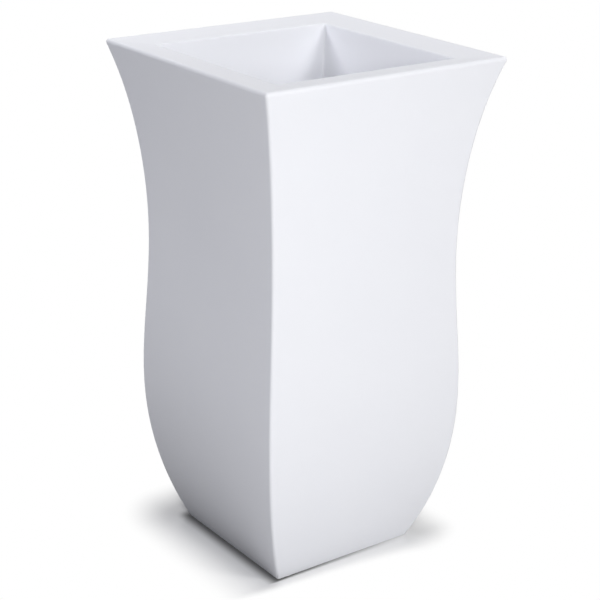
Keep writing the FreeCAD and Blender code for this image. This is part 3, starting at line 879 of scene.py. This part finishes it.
# Light

def soft_lamp(name, azimuth, elevation, distance, aim_z, size, radiance, colour=(1.0, 1.0, 1.0)):
    """A square lamp that faces the planter's axis, at angles in degrees round it from the front. Its
    radiance is what its face shows, so that its size alone doesn't change how bright it looks."""
    data = bpy.data.lights.new(name, "AREA")
    data.shape = "SQUARE"
    data.size = size
    data.energy = radiance * math.pi * size ** 2
    data.color = colour
    lamp = new_object(name, data)
    away = way_out(math.radians(azimuth), math.radians(elevation))
    lamp.location = Vector((0, 0, aim_z)) + away * distance
    lamp.rotation_euler = away.to_track_quat("Z", "Y").to_euler()


COOL_WHITE = (0.93, 0.94, 1.06)


def make_lights():
    """Lamps in front for the front face, one at each side, and one behind that lights the mouth."""
    soft_lamp("key_lamp", azimuth=16, elevation=24, distance=2.3, aim_z=0.6, size=0.42, radiance=28.0)
    soft_lamp("camera_lamp", azimuth=-31, elevation=20, distance=2.3, aim_z=0.6, size=0.8, radiance=13.3)
    soft_lamp("low_lamp", azimuth=0, elevation=3, distance=1.4, aim_z=0.18, size=0.36, radiance=3.6)
    soft_lamp("right_lamp", azimuth=90, elevation=52, distance=1.2, aim_z=0.7, size=0.5, radiance=6.4)
    soft_lamp("left_lamp", azimuth=-112, elevation=30, distance=2.3, aim_z=0.6, size=0.4, radiance=18.0,
              colour=COOL_WHITE)
    soft_lamp("mouth_lamp", azimuth=-160, elevation=39, distance=1.0, aim_z=0.7, size=0.22, radiance=23.0)


AMBIENT_LIGHT = {"Color": (0.9, 0.94, 1.0, 1), "Strength": 0.02}
WHITE_LIGHT = {"Color": (1, 1, 1, 1), "Strength": 1.0}


def seen_directly(tree):
    """1 where the camera, a reflection or something clear looks straight at a surface, else 0."""
    path = Wire.make(tree, "ShaderNodeLightPath", out="Is Camera Ray")
    return path.most(path.out("Is Glossy Ray")).most(path.out("Is Transmission Ray"))


def make_world():
    """A faint light from all round, seen as a white backdrop."""
    world = bpy.data.worlds.new("studio")
    bpy.context.scene.world = world
    world.use_nodes = True
    tree = world.node_tree
    tree.nodes.clear()
    ambient = Wire.make(tree, "ShaderNodeBackground", None, AMBIENT_LIGHT)
    white = Wire.make(tree, "ShaderNodeBackground", None, WHITE_LIGHT)
    mixed = ambient.node("ShaderNodeMixShader", None, {0: seen_directly(tree), 1: ambient, 2: white})
    ambient.node("ShaderNodeOutputWorld", None, {"Surface": mixed})


# Floor: its greys, the shadow painted round the foot, and how far out it turns white. The stretches multiply
# the distance from the foot, so that the painted shadow is shorter where they are larger.
FLOOR_SIZE = 40.0
FLOOR_GREY = 0.76
FLOOR_LIT = 0.90
# The next four set the shadow and shade painted on the floor round the foot, on top of its real shadow
PAINTED_SHADOW_DEPTH = 0.80
PAINTED_SHADOW_REACH = 0.020
PAINTED_SHADE_SPREAD = 0.48
PAINTED_SHADE_EDGE = 0.04
WHITE_FROM = 0.015
WHITE_TO = 0.095
FRONT_STRETCH_LEFT = 4.0
FRONT_STRETCH_RIGHT = 1.6
SIDE_STRETCH_LEFT = 0.98
SIDE_STRETCH_RIGHT = 1.05
BACK_STRETCH = 0.84


def ramp(wire, low, high):
    """0 below the low value and 1 above the high one, with a soft rise between."""
    return wire.node("ShaderNodeMapRange", {"interpolation_type": "SMOOTHSTEP"},
                     {"Value": wire, "From Min": low, "From Max": high})


def grey(wire):
    """A grey of a wire's value."""
    return wire.node("ShaderNodeCombineColor", None, {"Red": wire, "Green": wire, "Blue": wire})


def floor_white():
    """The floor's finish. It takes the planter's real shadow. A shadow is also painted on it round the foot,
    deepest along the left side, which lies away from the front lamps, and it is seen as white farther out."""
    material = bpy.data.materials.new("floor_white")
    material.use_nodes = True
    tree = material.node_tree
    tree.nodes.clear()
    place = Wire.make(tree, "ShaderNodeTexCoord", out="Object")
    split = place.node("ShaderNodeSeparateXYZ", None, {0: place}, "X")
    across, along = split, split.out("Y")
    leftward = (0.5 - across / (2 * FOOT_HALF)).most(0.0).least(1.0)
    front_stretch = FRONT_STRETCH_RIGHT + (FRONT_STRETCH_LEFT - FRONT_STRETCH_RIGHT) * leftward
    side_stretch = SIDE_STRETCH_RIGHT + (SIDE_STRETCH_LEFT - SIDE_STRETCH_RIGHT) * leftward
    beside = side_stretch * (across.size() - FOOT_HALF).most(0.0)
    before = front_stretch * (0.0 - along - FOOT_HALF)
    behind = BACK_STRETCH * (along - FOOT_HALF)
    lengthwise = before.most(behind).most(0.0)
    away = (beside * beside + lengthwise * lengthwise).root()
    whiteness = ramp(away, WHITE_FROM, WHITE_TO)
    # Painted shadow: the floor that the camera sees is darkened next to the foot, most on the left
    depth = PAINTED_SHADOW_DEPTH * leftward
    painted_shadow = 1.0 - depth * (1.0 - ramp(away, 0.0, PAINTED_SHADOW_REACH))
    # Painted shade: for bounced light the floor is darker on the left of the foot, which dims the lower left
    # face
    behind_front = ramp(along, -FOOT_HALF - PAINTED_SHADE_EDGE, -FOOT_HALF + PAINTED_SHADE_EDGE)
    whole = 1.0 - behind_front * depth * (1.0 - ramp(away, 0.0, PAINTED_SHADE_SPREAD))
    bounce = place.node("ShaderNodeBsdfDiffuse", None, {"Color": grey(FLOOR_GREY * whole)})
    lit = place.node("ShaderNodeBsdfDiffuse", None, {"Color": grey(FLOOR_LIT * painted_shadow)})
    white = place.node("ShaderNodeEmission", None, WHITE_LIGHT)
    shown = place.node("ShaderNodeMixShader", None, {0: whiteness, 1: lit, 2: white})
    surface = place.node("ShaderNodeMixShader", None, {0: seen_directly(tree), 1: bounce, 2: shown})
    place.node("ShaderNodeOutputMaterial", None, {"Surface": surface})
    return material


def make_floor():
    """A plain square floor at the planter's feet."""
    corners = [(-FLOOR_SIZE, -FLOOR_SIZE, 0), (FLOOR_SIZE, -FLOOR_SIZE, 0), (FLOOR_SIZE, FLOOR_SIZE, 0),
               (-FLOOR_SIZE, FLOOR_SIZE, 0)]
    mesh = bpy.data.meshes.new("floor")
    mesh.from_pydata(corners, [], [(0, 1, 2, 3)])
    floor = new_object("floor", mesh)
    mesh.materials.append(floor_white())


# Put together

SWEEP = sweep_tree()
WHITE = shell_white()
CHARCOAL = grate_charcoal()
RUBBER = seal_rubber()
PIPE = pipe_grey()
LINER_GREY = liner_grey()
BLACK = plug_black()
make_shell(WHITE)
make_liner(LINER_GREY)
make_liner_ribs(LINER_GREY)
make_grate_rims(CHARCOAL)
make_plug_grips(BLACK)
paint(CHARCOAL, "soil_grate", *[name for name in NODES if name.startswith("wick_cup")])
paint(PIPE, "overflow_standpipe", "standpipe_strainer", "standpipe_nut")
paint(BLACK, "drain_plug")
paint(RUBBER, "standpipe_gasket", "drain_plug_seal")
paint(foot_rubber(), *[name for name in NODES if name.startswith("foot_pad")])
paint(screw_zinc(), "foot_screws")

make_floor()
make_world()
make_lights()
make_camera()
bpy.context.scene.view_settings.view_transform = "Standard"
